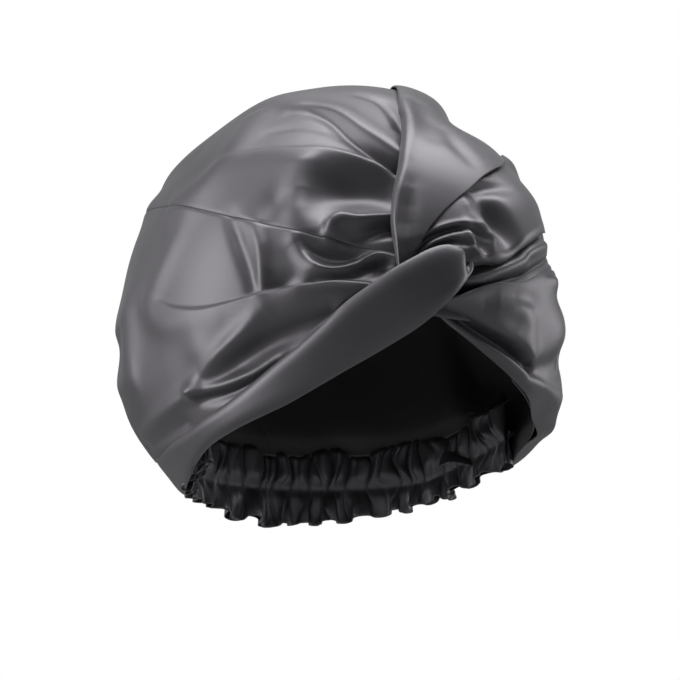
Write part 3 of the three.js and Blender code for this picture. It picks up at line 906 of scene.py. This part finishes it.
napeCasing = {
    "turns": (80.0, 264.0),   # from its right end round the nape to its left end
    "gathers": 25,
    "steps": 26,              # columns in each gather
    "rows": 70,
    "stitchHeight": 11.0,
    "depth": 6.2,
    "frill": 3.2,        # how far the heading swings in and out
    "frillWaves": 16,
    "overhang": 2.2,     # how far its waves lean over sideways
    "hang": 4.2,         # how much lower its lobes hang than its creases
    # height of its lower edge at each turn
    "drops": [(60, 0), (120, 0), (150, -4), (172, -7), (190, -4), (205, -2), (240, -1), (310, 0)],
    "swayFrom": -4.0,
    "endHeight": 16.0,
    "topSink": 2.6,
    "middleOut": -5.6,
    "channel": 0.8,
    "thickness": 0.4,
    "hemRadius": 95.0,
    "seed": 11,
}


# uneven shares that add up to one, as the places where each begins and ends
def unevenEdges(rng, count, least, most):
    widths = rng.uniform(least, most, count)
    return np.r_[0, np.cumsum(widths)] / widths.sum()


# Gathers run between creases that each sway in their own way; below the stitches the
# heading spreads into fewer and wider waves
def casingGrid(face):
    rng = np.random.default_rng(napeCasing["seed"])
    count, stitch = napeCasing["gathers"], napeCasing["stitchHeight"]
    edges = unevenEdges(rng, count, 0.6, 1.5)
    spans = (0.1, 0.25), (4, 8), (0, 6.3)
    sway, wavelength, phase = (rng.uniform(*span, count + 1) for span in spans)
    spans = (0.7, 1.2), (31, 38), (0, 0.5)
    full, tops, crease = (rng.uniform(*span, count) for span in spans)
    bend, waveLow = rng.uniform(0, 6.3, count), rng.uniform(0, 1.3, napeCasing["frillWaves"] + 1)
    waveEdges = unevenEdges(rng, napeCasing["frillWaves"], 0.45, 1.8)
    sway[[0, -1]] = 0
    k = np.r_[np.repeat(np.arange(count), napeCasing["steps"]), count - 1]
    share = np.r_[np.tile(np.linspace(0, 1, napeCasing["steps"], endpoint=False), count), 1]
    level = np.linspace(0, 1, napeCasing["rows"])[:, None]
    plain = mixed(napeCasing["swayFrom"], bonnet["casingHeight"], level)
    lines = edges + sway / count * np.sin(plain / wavelength + phase)
    u = mixed(lines[:, k], lines[:, k + 1], share)
    turn = mixed(*napeCasing["turns"], u)
    # each gather puffs over the elastic, is pinched by the stitches and ends in a round top
    top = np.interp(u, (edges[:-1] + edges[1:]) / 2, tops)
    # the outer strip runs out low at both ends, behind the lining
    ends = smooth(np.minimum(u, 1 - u), 0.01, 0.12)
    upper = mixed(napeCasing["endHeight"], bonnet["casingHeight"], ends) if face > 0 else top
    height = mixed(through(napeCasing["drops"], turn), upper, level)
    lower = 1 - smooth(height, -2, stitch)
    pad = np.sin(math.pi * share) ** 0.45 * full[k]
    creaseAt = 0.5 + 0.2 * np.sin(plain / 6 + bend[k])
    pad = pad * (1 - crease[k] * np.exp(-((share - creaseAt) / 0.1) ** 2))
    pinch = 1 - 0.7 * np.exp(-((height - stitch) / 3.5) ** 2)
    puffed = mixed(0.45, 1.0, smooth(height, stitch - 2, stitch + 9)) * pinch
    puffed = puffed * (1 - smooth(height, top - 6, top))
    sunk = napeCasing["topSink"] * smooth(height, top - 4, top) * (face < 0)
    out = face * (mixed(napeCasing["channel"], 0.3, lower) + napeCasing["depth"] * pad * puffed - sunk)
    cycle = np.interp(u, waveEdges, np.arange(len(waveEdges)))
    strength = np.interp(cycle, np.arange(len(waveLow)), waveLow)
    wave = np.sin(2 * math.pi * cycle) * (0.5 + 0.5 * strength)
    out = out + napeCasing["frill"] * wave * lower
    lean = np.degrees(napeCasing["overhang"] / napeCasing["hemRadius"])
    turn = turn - lean * np.sin(4 * math.pi * cycle) * strength * lower
    lobes = (0.5 + 0.5 * wave) * strength
    grid = overHem(np.where(turn > 180, turn - 360, turn), height - napeCasing["hang"] * lobes * lower,
                   out + napeCasing["middleOut"])
    return grid if face > 0 else grid[:, ::-1]


def makeCasing():
    for face, word in ((1, "outer"), (-1, "inner")):
        piece = thicken(clothMesh(f"casing_{word}_ply", casingGrid(face)), napeCasing["thickness"])
        sew(piece, f"nape_casing_{word}", satin)


napeElastic = {
    "turns": (90.0, 254.0),
    "low": 15.0,
    "width": 20.0,
    "out": 0.3,
    "thickness": 0.7,
    "ribs": 10,
    "ribDepth": 0.12,
    "columns": 400,
    "rows": 41,
    "deep": (0.010, 0.010, 0.011, 1),
    "pale": (0.030, 0.030, 0.032, 1),
    "roughness": 0.85,
}


def elasticMaterial():
    material, nodes, links, shader = newMaterial("elastic_knit")
    place = nodes.new("ShaderNodeTexCoord")
    ribs = addNode(nodes, "TexWave", {"Scale": 320.0, "Distortion": 0.6})
    links.new(place.outputs["UV"], ribs.inputs["Vector"])
    tone = addNode(nodes, "Mix", {"A": napeElastic["deep"], "B": napeElastic["pale"]}, data_type="RGBA")
    links.new(ribs.outputs["Fac"], tone.inputs["Factor"])
    links.new(tone.outputs["Result"], shader.inputs["Base Color"])
    bump = addNode(nodes, "Bump", {"Strength": 0.4, "Distance": 0.0004})
    links.new(ribs.outputs["Fac"], bump.inputs["Height"])
    links.new(bump.outputs["Normal"], shader.inputs["Normal"])
    setInputs(shader, {"Roughness": napeElastic["roughness"]})
    return material


def makeElastic():
    u = np.linspace(0, 1, napeElastic["columns"])[None, :]
    v = np.linspace(0, 1, napeElastic["rows"])[:, None]
    turn = mixed(*napeElastic["turns"], u) + 0 * v
    turn = np.where(turn > 180, turn - 360, turn)
    rib = napeElastic["ribDepth"] * np.cos(2 * math.pi * napeElastic["ribs"] * v)
    out = napeCasing["middleOut"] + napeElastic["out"] + rib + 0 * u
    grid = overHem(turn, napeElastic["low"] + napeElastic["width"] * v, out)
    piece = thicken(clothMesh("nape_elastic_knit", grid), napeElastic["thickness"])
    sew(piece, "nape_elastic", elasticMaterial())


makeCrown()
makeSide(-1)
makeSide(1)
print("panels sewn")
makeLinings()
print("lining sewn")
makeLeftBand()
makeRightBand()
makeDrapes()
makeCore()
print("twist laid")
makeCasing()
makeElastic()
print("nape gathered")


studio = {
    "floorHeight": -0.26,
    "floorHalf": 3.0,
    "floorColour": (0.80, 0.80, 0.80, 1),
    "floorInShade": (0.25, 0.25, 0.25, 1),   # what it throws back onto the cloth
    # name: azimuth, elevation, distance, width, height, power
    "softboxes": {
        "key_left": (-112, -3, 1.2, 0.5, 1.9, 20),
        "overhead": (-55, 73, 1.1, 0.9, 0.7, 13),
        "upper_right": (52, 62, 1.1, 0.6, 0.6, 6.4),
        "back_right": (140, 72, 1.1, 0.5, 0.5, 1.3),
        "rim_right": (74, 2, 1.3, 0.6, 0.8, 6),
        "fill_low": (-35, -35, 1.4, 1.0, 0.5, 2.4),
    },
    "skyHigh": (0.18, 0.18, 0.19, 1),
    "skyLow": (0.02, 0.02, 0.02, 1),
    "skyLevels": (-0.5, 0.8),
    "whiteInGloss": 0.1,   # share of the white background that the satin's sheen picks up
}


def addFacing(name, data, right, back, place):
    matrix = np.eye(4)
    matrix[:3, :3] = np.stack([right, np.cross(back, right), back], 1)
    matrix[:3, 3] = place
    thing = bpy.data.objects.new(name, data)
    thing.matrix_world = Matrix(matrix.tolist())
    bpy.context.scene.collection.objects.link(thing)
    return thing


def makeCamera():
    data = bpy.data.cameras.new("photo_camera")
    data.lens, data.sensor_width = photoView["lens"], photoView["sensor"]
    data.clip_end = photoView["farClip"]
    camera = addFacing("photo_camera", data, viewRight, viewBack, viewEye * toMetres)
    bpy.context.scene.camera = camera


def makeSoftbox(name, azimuth, elevation, distance, width, height, power):
    data = bpy.data.lights.new(name, "AREA")
    data.shape, data.size, data.size_y, data.energy = "RECTANGLE", width, height, power
    towards = direction(azimuth, elevation)
    addFacing(name, data, direction(azimuth + 90, 0), towards, viewAim * toMetres + towards * distance)


# white where the background shows, softer where it lights the cloth
def whiteWhereSeen(nodes, links, lit, target, colour=(1, 1, 1, 1)):
    path = nodes.new("ShaderNodeLightPath")
    seenRay = addNode(nodes, "Math", {}, operation="MAXIMUM")
    links.new(path.outputs["Is Camera Ray"], seenRay.inputs[0])
    links.new(path.outputs["Is Transmission Ray"], seenRay.inputs[1])
    whiteShare = addNode(nodes, "Math", {1: studio["whiteInGloss"]}, operation="MULTIPLY_ADD",
                         use_clamp=True)
    links.new(path.outputs["Is Glossy Ray"], whiteShare.inputs[0])
    links.new(seenRay.outputs["Value"], whiteShare.inputs[2])
    white = addNode(nodes, "Mix", {"B": colour}, data_type="RGBA")
    links.new(whiteShare.outputs["Value"], white.inputs["Factor"])
    links.new(lit, white.inputs["A"])
    links.new(white.outputs["Result"], target)


def makeWorld():
    world = bpy.data.worlds.new("studio")
    world.use_nodes = True
    bpy.context.scene.world = world
    nodes, links = world.node_tree.nodes, world.node_tree.links
    place = nodes.new("ShaderNodeTexCoord")
    split = nodes.new("ShaderNodeSeparateXYZ")
    links.new(place.outputs["Generated"], split.inputs["Vector"])
    low, high = studio["skyLevels"]
    level = addNode(nodes, "MapRange", {"From Min": low, "From Max": high})
    links.new(split.outputs["Z"], level.inputs["Value"])
    sky = addNode(nodes, "Mix", {"A": studio["skyLow"], "B": studio["skyHigh"]}, data_type="RGBA")
    links.new(level.outputs["Result"], sky.inputs["Factor"])
    whiteWhereSeen(nodes, links, sky.outputs["Result"], nodes["Background"].inputs["Color"])


def makeFloor():
    mesh = bpy.data.meshes.new("studio_floor")
    z, half = studio["floorHeight"], studio["floorHalf"]
    corners = [(-half, -half, z), (half, -half, z), (half, half, z), (-half, half, z)]
    mesh.from_pydata(corners, [], [(0, 1, 2, 3)])
    floor = bpy.data.objects.new("studio_floor", mesh)
    bpy.context.scene.collection.objects.link(floor)
    material, nodes, links, shader = newMaterial("floor_paper")
    paper = nodes.new("ShaderNodeRGB")
    paper.outputs["Color"].default_value = studio["floorInShade"]
    target = shader.inputs["Base Color"]
    whiteWhereSeen(nodes, links, paper.outputs["Color"], target, studio["floorColour"])
    setInputs(shader, {"Roughness": 0.9})
    mesh.materials.append(material)


makeCamera()
for name, values in studio["softboxes"].items():
    makeSoftbox(name, *values)
makeWorld()
makeFloor()
bpy.context.scene.view_settings.view_transform = "Standard"
print("studio set")
